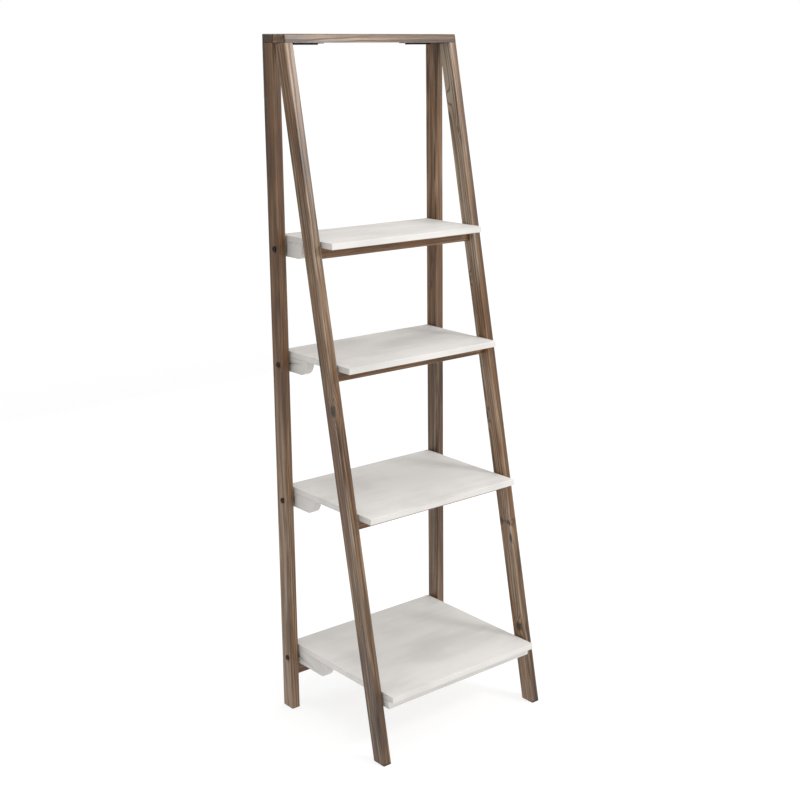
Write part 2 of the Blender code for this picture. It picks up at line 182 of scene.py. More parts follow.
class ShaderSheet:
    """One material's node tree, filled by short calls."""

    def __init__(self, name: str) -> None:
        """Starts an empty tree.

        Args:
            name: the material's name.
        """
        self.material = bpy.data.materials.new(name)
        self.material.use_nodes = True
        self.tree = self.material.node_tree
        self.tree.nodes.clear()

    def node(
        self,
        kind: str,
        settings: dict[str, Any] | None = None,
        inputs: dict[str | int, Any] | None = None,
    ) -> bpy.types.Node:
        """Adds a node.

        Args:
            kind: the node's type.
            settings: its properties, and under "stops" a ramp's (place, colour) pairs; set first.
            inputs: for each socket, by name or number, a value or the Signal to link.

        Returns:
            The new node.
        """
        made = self.tree.nodes.new(kind)
        for key, value in (settings or {}).items():
            if key != "stops":
                setattr(made, key, value)
                continue
            ramp = made.color_ramp
            while len(ramp.elements) < len(value):
                ramp.elements.new(1.0)
            for element, (place, colour) in zip(ramp.elements, value):
                element.position = place
                element.color = colour
        for key, value in (inputs or {}).items():
            if isinstance(value, Signal):
                self.tree.links.new(value.socket, made.inputs[key])
            else:
                made.inputs[key].default_value = value
        return made

    def signal(self, node: bpy.types.Node, output: str | int = 0) -> Signal:
        """The named or numbered output of a node, as a Signal."""
        return Signal(self, node.outputs[output])

    def math(self, operation: str, *values: Signal | float) -> Signal:
        """One Math node on values or Signals."""
        return self.signal(self.node("ShaderNodeMath", {"operation": operation}, dict(enumerate(values))))

    def vector(self, operation: str, *values: Any, output: int = 0) -> Signal:
        """One Vector Math node on vectors or Signals."""
        made = self.node("ShaderNodeVectorMath", {"operation": operation}, dict(enumerate(values)))
        return self.signal(made, output)

    def blend(self, share: Signal | float, first: Any, second: Any) -> Signal:
        """A colour between two others.

        Args:
            share: how much of the second colour.
            first: a colour or a Signal.
            second: a colour or a Signal.

        Returns:
            The blended colour.
        """
        settings = {"data_type": "RGBA", "blend_type": "MIX", "clamp_factor": True}
        return self.signal(self.node("ShaderNodeMix", settings, {0: share, 6: first, 7: second}), 2)

    def step(self, value: Signal, low: float, high: float) -> Signal:
        """A smooth step from 0 at low to 1 at high."""
        inputs = {"Value": value, "From Min": low, "From Max": high}
        return self.signal(self.node("ShaderNodeMapRange", {"interpolation_type": "SMOOTHSTEP"}, inputs))

    def noise(self, place: Signal, detail: float = 2.0, roughness: float = 0.5, output: int = 0) -> Signal:
        """Smooth noise at a place that is already scaled."""
        inputs = {"Vector": place, "Scale": 1.0, "Detail": detail, "Roughness": roughness}
        return self.signal(self.node("ShaderNodeTexNoise", None, inputs), output)

    def attribute(self, name: str) -> Signal:
        """A number that the mesh carries under this name."""
        return self.signal(self.node("ShaderNodeAttribute", {"attribute_name": name}), "Fac")

    def ramp(self, value: Signal, stops: Sequence[tuple[float, Sequence[float]]]) -> Signal:
        """The colour at a value on a ramp of (place, colour) stops."""
        return self.signal(self.node("ShaderNodeValToRGB", {"stops": stops}, {"Fac": value}))

    def object_place(self) -> Signal:
        """Where a point of the surface is, in the piece's own metres."""
        return self.signal(self.node("ShaderNodeTexCoord"), "Object")

    def principled(self, inputs: dict[str | int, Any]) -> None:
        """Adds a Principled shader with these inputs and joins it to the output."""
        shader = self.node("ShaderNodeBsdfPrincipled", None, inputs)
        self.node("ShaderNodeOutputMaterial", None, {"Surface": self.signal(shader)})

    def close(self, colour: Signal, roughness: Signal, height: Signal, depth: float, **fixed: Any) -> None:
        """Joins the results to a Principled shader and the output.

        Args:
            colour: the base colour.
            roughness: the roughness.
            height: the relief, from 0 to 1.
            depth: the relief's depth, in metres.
            fixed: values that are the same all over the surface, by socket name with _ for a space.
        """
        bump = self.node("ShaderNodeBump", None, {"Strength": 1.0, "Distance": depth, "Height": height})
        inputs = {"Base Color": colour, "Roughness": roughness, "Normal": self.signal(bump)}
        inputs.update({key.replace("_", " "): value for key, value in fixed.items()})
        self.principled(inputs)


# ---- finishes -----------------------------------------------------------------------------------
@dataclass(frozen=True)
class Knot:
    """A knot or a dark streak in a timber face.

    Attributes:
        place: where it is on the piece.
        size: its half width.
        heart: how dark it is; below 0 it is a pale nick.
        draw: how many times longer than wide it is.
    """

    place: tuple[float, float, float]
    size: float
    heart: float = 1.0
    draw: float = 2.2


@dataclass(frozen=True)
class GrainFrame:
    """Coordinates with the grain along Z and zero at a piece's middle.

    Attributes:
        run: how the grain runs.
        lean: the angle of leaning grain.
        middle: the piece's middle.
        half_length: half the piece's length along the grain.
    """

    run: Run
    lean: float
    middle: tuple[float, float, float]
    half_length: float = 1.0

    @property
    def turn(self) -> tuple[float, float, float]:
        """The Euler turn that brings the grain to Z."""
        turns = {Run.UPRIGHT: (0, 0, 0), Run.LEANING: (self.lean, 0, 0), Run.ACROSS: (0, -math.pi / 2, 0)}
        return turns[self.run]

    def local(self, place: Sequence[float]) -> Vector:
        """A world place in these coordinates."""
        return Euler(self.turn).to_matrix() @ (Vector(place) - Vector(self.middle))

    def coordinates(self, sheet: ShaderSheet) -> Signal:
        """The Mapping node that turns Object coordinates into these.

        Args:
            sheet: the material's sheet.

        Returns:
            The coordinates.
        """
        centre = Euler(self.turn).to_matrix() @ Vector(self.middle)
        inputs = {"Vector": sheet.object_place(), "Rotation": self.turn, "Location": tuple(-centre)}
        return sheet.signal(sheet.node("ShaderNodeMapping", {"vector_type": "POINT"}, inputs))


@dataclass(frozen=True)
class StainedTimber:
    """Brushed softwood under a grey-brown stain.

    Attributes:
        seed: picks this piece's own stretch of grain.
        warmth: how far the stain leans to orange brown.
        bloom: how much pinkish-grey lime is left on the face.
        depth: how far all is darkened.
        pith: where the tree's heart lies from the piece's middle, across the grain.
        ring: the width of a growth ring.
        knots: the knots in its faces.
        left_pale: how much paler its left face is than its middle, in tone.
        bands: how the tone changes up or across the piece, as (share of its length, change).
        edge: how strongly its arrises take a patchy tone, partly wear and partly painted light: painted edge
            shade in the dark patches, painted edge highlight in the pale ones.
        end_dark: how much darker its end grain is.
        contrast: how far the layers of noise spread the tone.
        half_thickness: half the thickness of a leg.
        relief: the depth of the brushed grain.
        dark, brown, tan, lime: the stain from its darkest tone to its palest.
        orange: the colour that warmth leans to.
        black: the colour of knots and pores.
    """

    seed: float
    warmth: float = 0.0
    bloom: float = 0.3
    depth: float = 0.0
    pith: tuple[float, float] = (0.050, 0.035)
    ring: float = 0.0060
    knots: tuple[Knot, ...] = ()
    left_pale: float = 0.0
    bands: tuple[tuple[float, float], ...] = ((0.0, 0.0), (1.0, 0.0))
    edge: float = 0.4
    end_dark: float = 0.7
    contrast: float = 4.5
    half_thickness: float = 0.011
    relief: float = 0.0004

    dark: Colour = Colour("#302014")
    brown: Colour = Colour("#5c442d")
    tan: Colour = Colour("#82674a")
    lime: Colour = Colour("#a49482")
    orange: Colour = Colour("#86592f")
    black: Colour = Colour("#1d1510")

    def stain(self, colour: Colour) -> tuple[float, float, float, float]:
        """A stain colour after this piece's own warmth and depth."""
        return colour.towards(self.orange, self.warmth).towards(self.black, self.depth).linear

    def streak(self, sheet: ShaderSheet, place: Signal, across: float, along: float, salt: float) -> Signal:
        """Noise drawn out along the grain.

        Args:
            sheet: the material's sheet.
            place: grain coordinates.
            across: features per metre across the grain.
            along: features per metre along it.
            salt: moves this layer away from the others.

        Returns:
            The noise, from 0 to 1.
        """
        shift = (self.seed + salt, self.seed * 1.7 - salt, self.seed * 0.6 + salt * 2.3)
        drawn = sheet.vector("MULTIPLY_ADD", place, (across, across, along), shift)
        return sheet.noise(drawn, 3.0, 0.6)

    def swayed(self, sheet: ShaderSheet, straight: Signal) -> Signal:
        """Grain coordinates that wander up to 6 mm across the grain, as the tree grew.

        Args:
            sheet: the material's sheet.
            straight: straight grain coordinates.

        Returns:
            The wandering coordinates.
        """
        shift = (self.seed, -self.seed, self.seed * 0.5)
        sway = sheet.noise(sheet.vector("MULTIPLY_ADD", straight, (16, 16, 2.2), shift), 2.0, 0.5, 1)
        off = sheet.vector("MULTIPLY_ADD", sway, (0.012, 0.012, 0.0), (-0.006, -0.006, 0.0))
        return sheet.vector("ADD", straight, off)

    def knotted(self, sheet: ShaderSheet, straight: Signal, grain: GrainFrame) -> tuple[Signal | float, ...]:
        """What the knots do to the face.

        With d the distance from a knot in half widths, the rings swell around it by
        1.6 half widths times exp(-0.35 d squared).  The heart and the nick are full inside 0.45
        half widths and fade out by 1.10.

        Args:
            sheet: the material's sheet.
            straight: straight grain coordinates.
            grain: the piece's grain coordinates, to place the knots in.

        Returns:
            The rings' swelling, the share of dark heart and the share of pale nick.
        """
        swelling: Signal | float = 0.0
        core: Signal | float = 0.0
        nick: Signal | float = 0.0
        for knot in self.knots:
            off = sheet.vector("SUBTRACT", straight, tuple(grain.local(knot.place)))
            reach = sheet.vector("LENGTH", sheet.vector("MULTIPLY", off, (1, 1, 1 / knot.draw)), output=1)
            reach = reach / knot.size
            inside = 1 - sheet.step(reach, 0.45, 1.10)
            if knot.heart < 0:
                nick = inside * -knot.heart + nick
                continue
            swelling = sheet.math("EXPONENT", reach * reach * -0.35) * (knot.size * 1.6) + swelling
            core = inside * knot.heart + core
        return swelling, core, nick

    def late_wood(
        self, sheet: ShaderSheet, straight: Signal, place: Signal, swelling: Signal | float
    ) -> Signal:
        """The dark lines of the growth rings: the fourth power of a wave of the ring radius.

        The radius is the distance from the tree's heart, swollen around each knot, so that the
        lines run long and straight, arch where the radius drifts and part around the knots.

        Args:
            sheet: the material's sheet.
            straight: straight grain coordinates.
            place: wandering grain coordinates.
            swelling: how far the knots swell the rings.

        Returns:
            The lines, from 0 between them to 1 at their middles.
        """
        heart = sheet.vector("SUBTRACT", place, (*self.pith, 0.0))
        radius = sheet.vector("LENGTH", sheet.vector("MULTIPLY", heart, (1, 1, 0.02)), output=1) + swelling
        drift = self.streak(sheet, straight, 9, 1.6, 3.1)
        crowd = self.streak(sheet, straight, 70, 0.7, 5.3)
        phase = (radius + drift * 0.022 + crowd * 0.007) * (TAU / self.ring)
        return (sheet.math("SINE", phase) * 0.5 + 0.5) ** 4

    def material(self, name: str, grain: GrainFrame) -> bpy.types.Material:
        """Builds the finish for one piece.

        Noise drawn out along the grain in four widths gives the tone, from dark stain to pale lime;
        growth lines, pores, arrises with partly worn and partly painted edge shade and highlight, knots and
        darker end grain are laid over it.

        Args:
            name: the material's name.
            grain: the piece's grain coordinates.

        Returns:
            The material.
        """
        sheet = ShaderSheet(name)
        straight = grain.coordinates(sheet)
        place = self.swayed(sheet, straight)
        swell, core, nick = self.knotted(sheet, straight, grain)
        late = self.late_wood(sheet, straight, place, swell)
        patch = self.streak(sheet, place, 12, 3.0, 11.0)
        hue = self.streak(sheet, place, 15, 1.4, 71.0)
        wide = self.streak(sheet, place, 120, 4.0, 23.0)
        fine = self.streak(sheet, place, 330, 9.0, 37.0)
        pores = self.streak(sheet, place, 1300, 55.0, 53.0)

        apart = sheet.node("ShaderNodeSeparateXYZ", None, {0: straight})
        length = sheet.signal(apart, 2)
        greys = [(share, (0.5 + change, 0.5 + change, 0.5 + change, 1.0)) for share, change in self.bands]
        band = sheet.ramp(length / (2 * grain.half_length) + 0.5, greys)
        tone = (patch * 1.0 + wide * 1.3 + fine * 1.1) / 3.4
        tone = (tone - 0.5) * self.contrast + (0.40 + 0.25 * self.bloom - 0.5) + band
        tone = tone - sheet.signal(apart, 0) * (self.left_pale / self.half_thickness)
        stops = [
            (0.05, self.stain(self.dark)),
            (0.36, self.stain(self.brown)),
            (0.66, self.stain(self.tan)),
            (0.98, self.stain(self.lime)),
        ]
        warm = sheet.step(hue, 0.46, 0.62) * 0.35
        colour = sheet.blend(warm, sheet.ramp(tone, stops), self.stain(self.orange))
        colour = sheet.blend(late * sheet.step(wide, 0.30, 0.55) * 0.9, colour, self.stain(self.dark))
        colour = sheet.blend(sheet.step(pores, 0.42, 0.30) * 0.35, colour, self.stain(self.black))
        # arrises: partly wear, partly painted light; dark patches paint edge shade, pale patches paint an
        # edge highlight
        arris_wear_and_painted_light = sheet.blend(sheet.step(patch, 0.42, 0.58), self.stain(self.dark), self.stain(self.lime))
        colour = sheet.blend(sheet.attribute("arris") * self.edge, colour, arris_wear_and_painted_light)
        if self.knots:
            colour = sheet.blend(core * 0.95, colour, self.stain(self.black))
            colour = sheet.blend(nick, colour, self.lime.linear)
        ends = sheet.step(sheet.math("ABSOLUTE", length), grain.half_length - 0.0015, grain.half_length)
        colour = sheet.blend(ends * self.end_dark, colour, self.stain(self.dark))

        roughness = 0.25 + fine * 0.16 + late * 0.06
        height = fine * 0.45 + wide * 0.2 - late * 0.35 + 0.3
        sheet.close(colour, roughness, height, self.relief, Specular_IOR_Level=0.45)
        return sheet.material


@dataclass(frozen=True)
class Whitewash:
    """Thin off-white paint over wood, rubbed so that the grain and smoky patches show through.

    Attributes:
        seed: picks this piece's own clouds and grain.
        shade: how far the paint colour is darkened, as painted shade.
        relief: the depth of the grain under the paint.
        chalk, smoke: the paint and its greyer clouds.
        straw: the grain that shows through.
        bare_and_edge_shade: the arrises' colour, partly wood showing through worn paint and partly painted
            shade along the edges.
        black: the colour that shade leans to.
    """

    seed: float
    shade: float = 0.0
    relief: float = 0.0003
    chalk: Colour = Colour("#d8d5d1")
    smoke: Colour = Colour("#c4c1bd")
    straw: Colour = Colour("#cbc3b9")
    bare_and_edge_shade: Colour = Colour("#aea397")
    black: Colour = Colour("#1d1510")

    def material(self, name: str, grain: GrainFrame) -> bpy.types.Material:
        """Builds the finish for one piece.

        Broad clouds pull the chalk colour to smoke, drawn-out streaks let straw-coloured grain
        through, and the arrises are pulled towards a darker wood colour, partly as wear and partly as painted
        shade along the edges.

        Args:
            name: the material's name.
            grain: the piece's grain coordinates.

        Returns:
            The material.
        """
        sheet = ShaderSheet(name)
        place = grain.coordinates(sheet)

        def layer(across: float, along: float, salt: float, detail: float) -> Signal:
            """Noise drawn out along the grain by the ratio of across to along."""
            shift = (self.seed + salt, salt - self.seed, self.seed * 0.4 + salt)
            return sheet.noise(sheet.vector("MULTIPLY_ADD", place, (across, across, along), shift), detail)

        cloud = layer(9, 6.0, 2.0, 3.0)
        swipe = layer(30, 4.5, 9.0, 3.0)
        ghost = layer(190, 6.0, 21.0, 2.0)
        fibre = layer(700, 18.0, 33.0, 2.0)
        # shade pulls the paint colour towards black: painted shade
        tint = [colour.towards(self.black, self.shade).linear for colour in (self.chalk, self.smoke)]
        colour = sheet.blend(sheet.step(cloud * 0.7 + swipe * 0.3, 0.40, 0.68) * 0.75, *tint)
        colour = sheet.blend(sheet.step(ghost, 0.52, 0.80) * 0.30, colour, self.straw.linear)
        # darker arrises: partly worn paint, partly painted shade along the edges
        worn = sheet.attribute("arris") * sheet.step(ghost, 0.40, 0.70) * 0.35
        colour = sheet.blend(worn, colour, self.bare_and_edge_shade.linear)
        roughness = 0.46 + ghost * 0.12 + cloud * 0.08
        sheet.close(colour, roughness, ghost * 0.5 + fibre * 0.3, self.relief, Specular_IOR_Level=0.4)
        return sheet.material


@dataclass(frozen=True)
class BlackenedSteel:
    """Blackened steel with a brown cast, rubbed bright on its high spots.

    Attributes:
        relief: the depth of its pitting.
        skin, brown: the blackening and its brown clouds.
        bright: the rubbed spots.
    """

    relief: float = 0.00005
    skin: Colour = Colour("#2b2623")
    brown: Colour = Colour("#4a3b30")
    bright: Colour = Colour("#8f8377")

    def material(self, name: str) -> bpy.types.Material:
        """Builds the finish, which every metal piece shares.

        Args:
            name: the material's name.

        Returns:
            The material.
        """
        sheet = ShaderSheet(name)
        world = sheet.object_place()
        cloud = sheet.noise(sheet.vector("MULTIPLY", world, (420, 420, 420)), 3.0, 0.6)
        rub = sheet.noise(sheet.vector("MULTIPLY", world, (1500, 900, 900)), 3.0, 0.7)
        colour = sheet.blend(sheet.step(cloud, 0.4, 0.7), self.skin.linear, self.brown.linear)
        colour = sheet.blend(sheet.step(rub, 0.6, 0.78) * 0.6, colour, self.bright.linear)
        sheet.close(colour, 0.34 + cloud * 0.3, rub, self.relief, Metallic=0.85)
        return sheet.material


# ---- surfaces -----------------------------------------------------------------------------------
def wander(along: np.ndarray, seed: float) -> np.ndarray:
    """A slow wave between about -1 and 1: three sines whose lengths and starts follow from the seed.

    Args:
        along: places along a piece.
        seed: picks the wave.

    Returns:
        The wave at each place.
    """
    waves = np.arange(1, 4)
    starts = np.sin(seed * 12.9898 + waves * 78.233) * math.pi
    rates = (5.3, 11.9, 23.7) * (1 + 0.2 * np.cos(seed + waves))
    return np.sin(along[..., None] * rates + starts) @ np.array((0.5, 0.3, 0.2))


def grid_faces(rows: int, columns: int) -> np.ndarray:
    """Quads of a grid whose columns close on themselves, facing out where columns turn anticlockwise.

    Args:
        rows: how many rows of points.
        columns: how many points in a row.

    Returns:
        Four point numbers for each quad.
    """
    row, column = np.meshgrid(np.arange(rows - 1), np.arange(columns), indexing="ij")
    beside = (column + 1) % columns
    corners = (row * columns + column, row * columns + beside)
    return np.stack((*corners, corners[1] + columns, corners[0] + columns), axis=-1).reshape(-1, 4)


def new_piece(name: str, points: np.ndarray, faces: list[list[int]], smooth: float = 50) -> bpy.types.Object:
    """Makes a mesh object from computed arrays.

    Args:
        name: the piece's name.
        points: its points, one row each.
        faces: the point numbers of each face.
        smooth: faces that meet at more than this many degrees keep a crisp edge.

    Returns:
        The object, linked to the scene.
    """
    mesh = bpy.data.meshes.new(name)
    mesh.from_pydata(points.tolist(), [], faces)
    mesh.shade_smooth()
    mesh.set_sharp_from_angle(angle=math.radians(smooth))
    piece = bpy.data.objects.new(name, mesh)
    bpy.context.scene.collection.objects.link(piece)
    return piece


@dataclass
class SoftPrism:
    """A bar, board or block: a section with rounded corners, swept in a straight line.

    Attributes:
        corners: the section's corners (a, b), anticlockwise.
        radii: the round at each corner.
        ends: where the sweep starts and stops.
        axes: the world directions of a, b and the sweep; a sweep direction that leans shears the bar.
        end_round: the round where the section meets the ends.
        seed: picks the hand-eased wander of the arrises.
        spacing: the most distance between rows, and between points on a flat.
        arc_steps: faces round an arris; a round past eased has three times as many.
        support: how far from a round a flat's first points lie, to hold it crisp.
        wear: how far an arris's round wanders, as a share of it.
        hollow: how deep a flat is planed hollow.
        eased: the largest round that counts as an eased arris.
    """

    corners: Sequence[tuple[float, float]]
    radii: Sequence[float]
    ends: tuple[float, float]
    axes: Sequence[tuple[float, float, float]]
    end_round: float
    seed: float
    spacing: float = 0.020
    arc_steps: int = 6
    support: float = 0.0022
    wear: float = 0.22
    hollow: float = 0.00012
    eased: float = 0.006

    def rows(self) -> tuple[np.ndarray, np.ndarray, np.ndarray]:
        """The sweep's rows.

        At an end the section draws in by R (1 - cos t) while the row moves R (1 - sin t) off the
        end, which is a quarter circle of radius R.

        Returns:
            Each row's place along the sweep, its inset, and whether it lies on an eased edge.
        """
        turn = np.linspace(math.pi / 2, 0, self.arc_steps + 1)
        edge_place = self.end_round * (1 - np.sin(turn))
        edge_inset = self.end_round * (1 - np.cos(turn))
        low, high = self.ends
        first, last = low + self.end_round + self.support, high - self.end_round - self.support
        middle = np.linspace(first, last, max(2, math.ceil((last - first) / self.spacing) + 1))
        cap = self.end_round + self.support
        place = np.concatenate(([low], low + edge_place, middle, high - edge_place[::-1], [high]))
        inset = np.concatenate(([cap], edge_inset, np.zeros(len(middle)), edge_inset[::-1], [cap]))
        eased = np.concatenate(([0], np.ones(len(turn)), np.zeros(len(middle)), np.ones(len(turn)), [0]))
        return place, inset, eased

    def section(self, place: np.ndarray, inset: np.ndarray) -> tuple[np.ndarray, np.ndarray]:
        """The section's points at every row.

        With M the mitre vector of a corner V, n the unit directions that turn from one side's
        normal to the next, r the round and d the inset, a round's points are
        V + max(r, d) M + max(r - d, 0) n.  A flat runs straight from one round to the next, and
        is planed hollow by a small sine.

        Args:
            place: each row's place along the sweep.
            inset: each row's inset.

        Returns:
            Points as rows by columns by (a, b), and for each column whether it lies on a round.
        """
        corners = np.array(self.corners, float)
        sides = np.roll(corners, -1, axis=0) - corners
        lengths = np.linalg.norm(sides, axis=1)
        normals = np.stack((sides[:, 1], -sides[:, 0]), axis=1) / lengths[:, None]
        count = len(corners)
        rounds = []
        for k in range(count):
            before, after = normals[k - 1], normals[k]
            mitre = -(before + after) / (1 + before @ after)
            start = math.atan2(before[1], before[0])
            turn = math.atan2(before[0] * after[1] - before[1] * after[0], before @ after)
            steps = self.arc_steps * (3 if self.radii[k] > self.eased else 1)
            angles = start + turn * np.linspace(0, 1, steps + 1)
            fan = np.stack((np.cos(angles), np.sin(angles)), axis=1)
            worn = self.wear * wander(place, self.seed + k) * (self.radii[k] <= self.eased)
            radius = self.radii[k] * (1 + worn)
            centre = corners[k] + np.maximum(radius, inset)[:, None] * mitre
            rounds.append(centre[:, None] + np.maximum(radius - inset, 0)[:, None, None] * fan)
        columns, on_round = [], []
        for k in range(count):
            columns.append(rounds[k])
            on_round.append(np.full(rounds[k].shape[1], float(self.radii[k] <= self.eased)))
            start, stop = rounds[k][:, -1:], rounds[(k + 1) % count][:, :1]
            share = self.flat_shares(lengths[k])
            dip = self.hollow * (1 + wander(place, self.seed + 9 + k))[:, None] * np.sin(math.pi * share)
            flat = start + (stop - start) * share[:, None] - dip[..., None] * normals[k]
            columns.append(flat)
            on_round.append(np.zeros(len(share)))
        return np.concatenate(columns, axis=1), np.concatenate(on_round)

    def flat_shares(self, length: float) -> np.ndarray:
        """Shares along a flat: one by each round to hold it crisp, and an even row between.

        Args:
            length: the flat's length.

        Returns:
            The shares, rising.
        """
        near = min(0.25, self.support / length)
        steps = max(2, math.ceil(length * (1 - 2 * near) / self.spacing) + 1)
        return np.linspace(near, 1 - near, steps)

    def build(self, name: str) -> bpy.types.Object:
        """Makes the mesh, with an "arris" attribute that is 1 on the eased edges.

        Args:
            name: the piece's name.

        Returns:
            The object.
        """
        place, inset, eased = self.rows()
        section, on_round = self.section(place, inset)
        axis_a, axis_b, axis_sweep = (np.array(axis, float) for axis in self.axes)
        points = section[..., :1] * axis_a + section[..., 1:] * axis_b + place[:, None, None] * axis_sweep
        rows, columns = section.shape[:2]
        faces = grid_faces(rows, columns)
        ring = np.arange(columns)
        caps = [ring[::-1].tolist(), (ring + (rows - 1) * columns).tolist()]
        if np.linalg.det((axis_a, axis_b, axis_sweep)) < 0:
            faces = faces[:, ::-1]
            caps = [cap[::-1] for cap in caps]
        piece = new_piece(name, points.reshape(-1, 3), faces.tolist() + caps)
        arris = np.maximum(eased[:, None], on_round * (inset < 1e-9)[:, None])
        layer = piece.data.attributes.new("arris", "FLOAT", "POINT")
        layer.data.foreach_set("value", arris.ravel().astype(np.float32))
        return piece


def turned(
    name: str,
    along: np.ndarray,
    radius: np.ndarray,
    centre: Sequence[float],
    axis: Sequence[float],
    smooth: float = 40,
) -> bpy.types.Object:
    """A closed surface turned about an axis.

    Row i and column j hold the point at along[i, j] on the axis, radius[i, j] off it, at the angle
    2 pi j / columns.  The first and last rows close on the axis as single points.

    Args:
        name: the piece's name.
        along: distances along the axis, rising from row to row.
        radius: distances off the axis; the first and last rows are poles.
        centre: where distance 0 is.
        axis: the unit axis.
        smooth: the crease angle in degrees.

    Returns:
        The object.
    """
    rows, columns = radius.shape
    axis_vector = Vector(axis)
    first = axis_vector.orthogonal().normalized()
    second = axis_vector.cross(first)
    angle = TAU * np.arange(columns) / columns
    fan = np.cos(angle)[:, None] * np.array(first) + np.sin(angle)[:, None] * np.array(second)
    rings = np.array(centre) + along[1:-1, :, None] * np.array(axis) + radius[1:-1, :, None] * fan
    poles = np.array(centre) + along[[0, -1], :1] * np.array(axis)
    points = np.concatenate((rings.reshape(-1, 3), poles))
    body = grid_faces(rows - 2, columns)
    column = np.arange(columns)
    beside = (column + 1) % columns
    foot, crown = len(points) - 2, len(points) - 1
    last = (rows - 3) * columns
    fans = [np.stack((np.full(columns, foot), beside, column), axis=1)]
    fans.append(np.stack((np.full(columns, crown), last + column, last + beside), axis=1))
    return new_piece(name, points, body.tolist() + np.concatenate(fans).tolist(), smooth)


def hexagon(columns: int) -> np.ndarray:
    """A regular hexagon's distance at each angle, as a share of its corners': cos 30 over cos phi."""
    angle = TAU * np.arange(columns) / columns
    return math.cos(math.pi / 6) / np.cos(angle % (math.pi / 3) - math.pi / 6)


def cross_slot(columns: int, half_width: float, reach: float) -> np.ndarray:
    """A cross recess's distance at each angle.

    Each arm ends at the reach, and its flank is half_width / sin phi away at the angle phi from it.

    Args:
        columns: how many angles.
        half_width: half the width of an arm.
        reach: how far the arms go.

    Returns:
        One distance for each angle.
    """
    angle = TAU * np.arange(columns) / columns
    off_arm = np.abs((angle + math.pi / 4) % (math.pi / 2) - math.pi / 4)
    return np.minimum(reach, half_width / np.maximum(np.sin(off_arm), 1e-6))


def middle_of(node: str) -> tuple[float, float, float]:
    """The middle of a CAD node's box."""
    low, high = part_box(node)
    return tuple((low + high) / 2)


def bore(piece: bpy.types.Object, name: str, side: Side, place: tuple[float, float], radius: float) -> None:
    """Cuts a hole along X through a piece.

    Args:
        piece: the piece.
        name: the hole's name.
        side: the side that the piece is on.
        place: the hole's Y and Z.
        radius: the hole's radius.
    """
    clear = 0.02
    near, far = clear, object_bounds()[1].x + clear
    rows = np.sort(side.value * np.array((near, near, far, far)))
    along = np.repeat(rows[:, None], 32, axis=1)
    radii = np.array((0, radius, radius, 0))[:, None] * np.ones(32)
    cutter = turned(name, along, radii, (0, *place), (1, 0, 0))
    cut = piece.modifiers.new("bolt_hole", "BOOLEAN")
    cut.object = cutter
    cut.solver = "EXACT"
    with bpy.context.temp_override(object=piece, active_object=piece):
        bpy.ops.object.modifier_apply(modifier=cut.name)
    bpy.data.objects.remove(cutter, do_unlink=True)


def hand_over(piece: bpy.types.Object, body: str, node: str | None = None) -> None:
    """Puts a piece on its body and, where it stands for one, hides the CAD node that it replaces.

    Args:
        piece: the piece.
        body: the body that it rides on.
        node: the CAD node that it replaces.
    """
    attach(piece, body)
    if node:
        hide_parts(node)
    log.info("%s: %d faces on %s", piece.name, len(piece.data.polygons), body)


# ---- timber frames ------------------------------------------------------------------------------
@dataclass(frozen=True)
class Mark:
    """A knot on a leaning leg's side face, placed along the leg.

    Attributes:
        height: its height over the floor.
        share: how far it lies from the leg's front to its back.
        size, heart, draw: as in Knot.
    """

    height: float
    share: float
    size: float
    heart: float
    draw: float


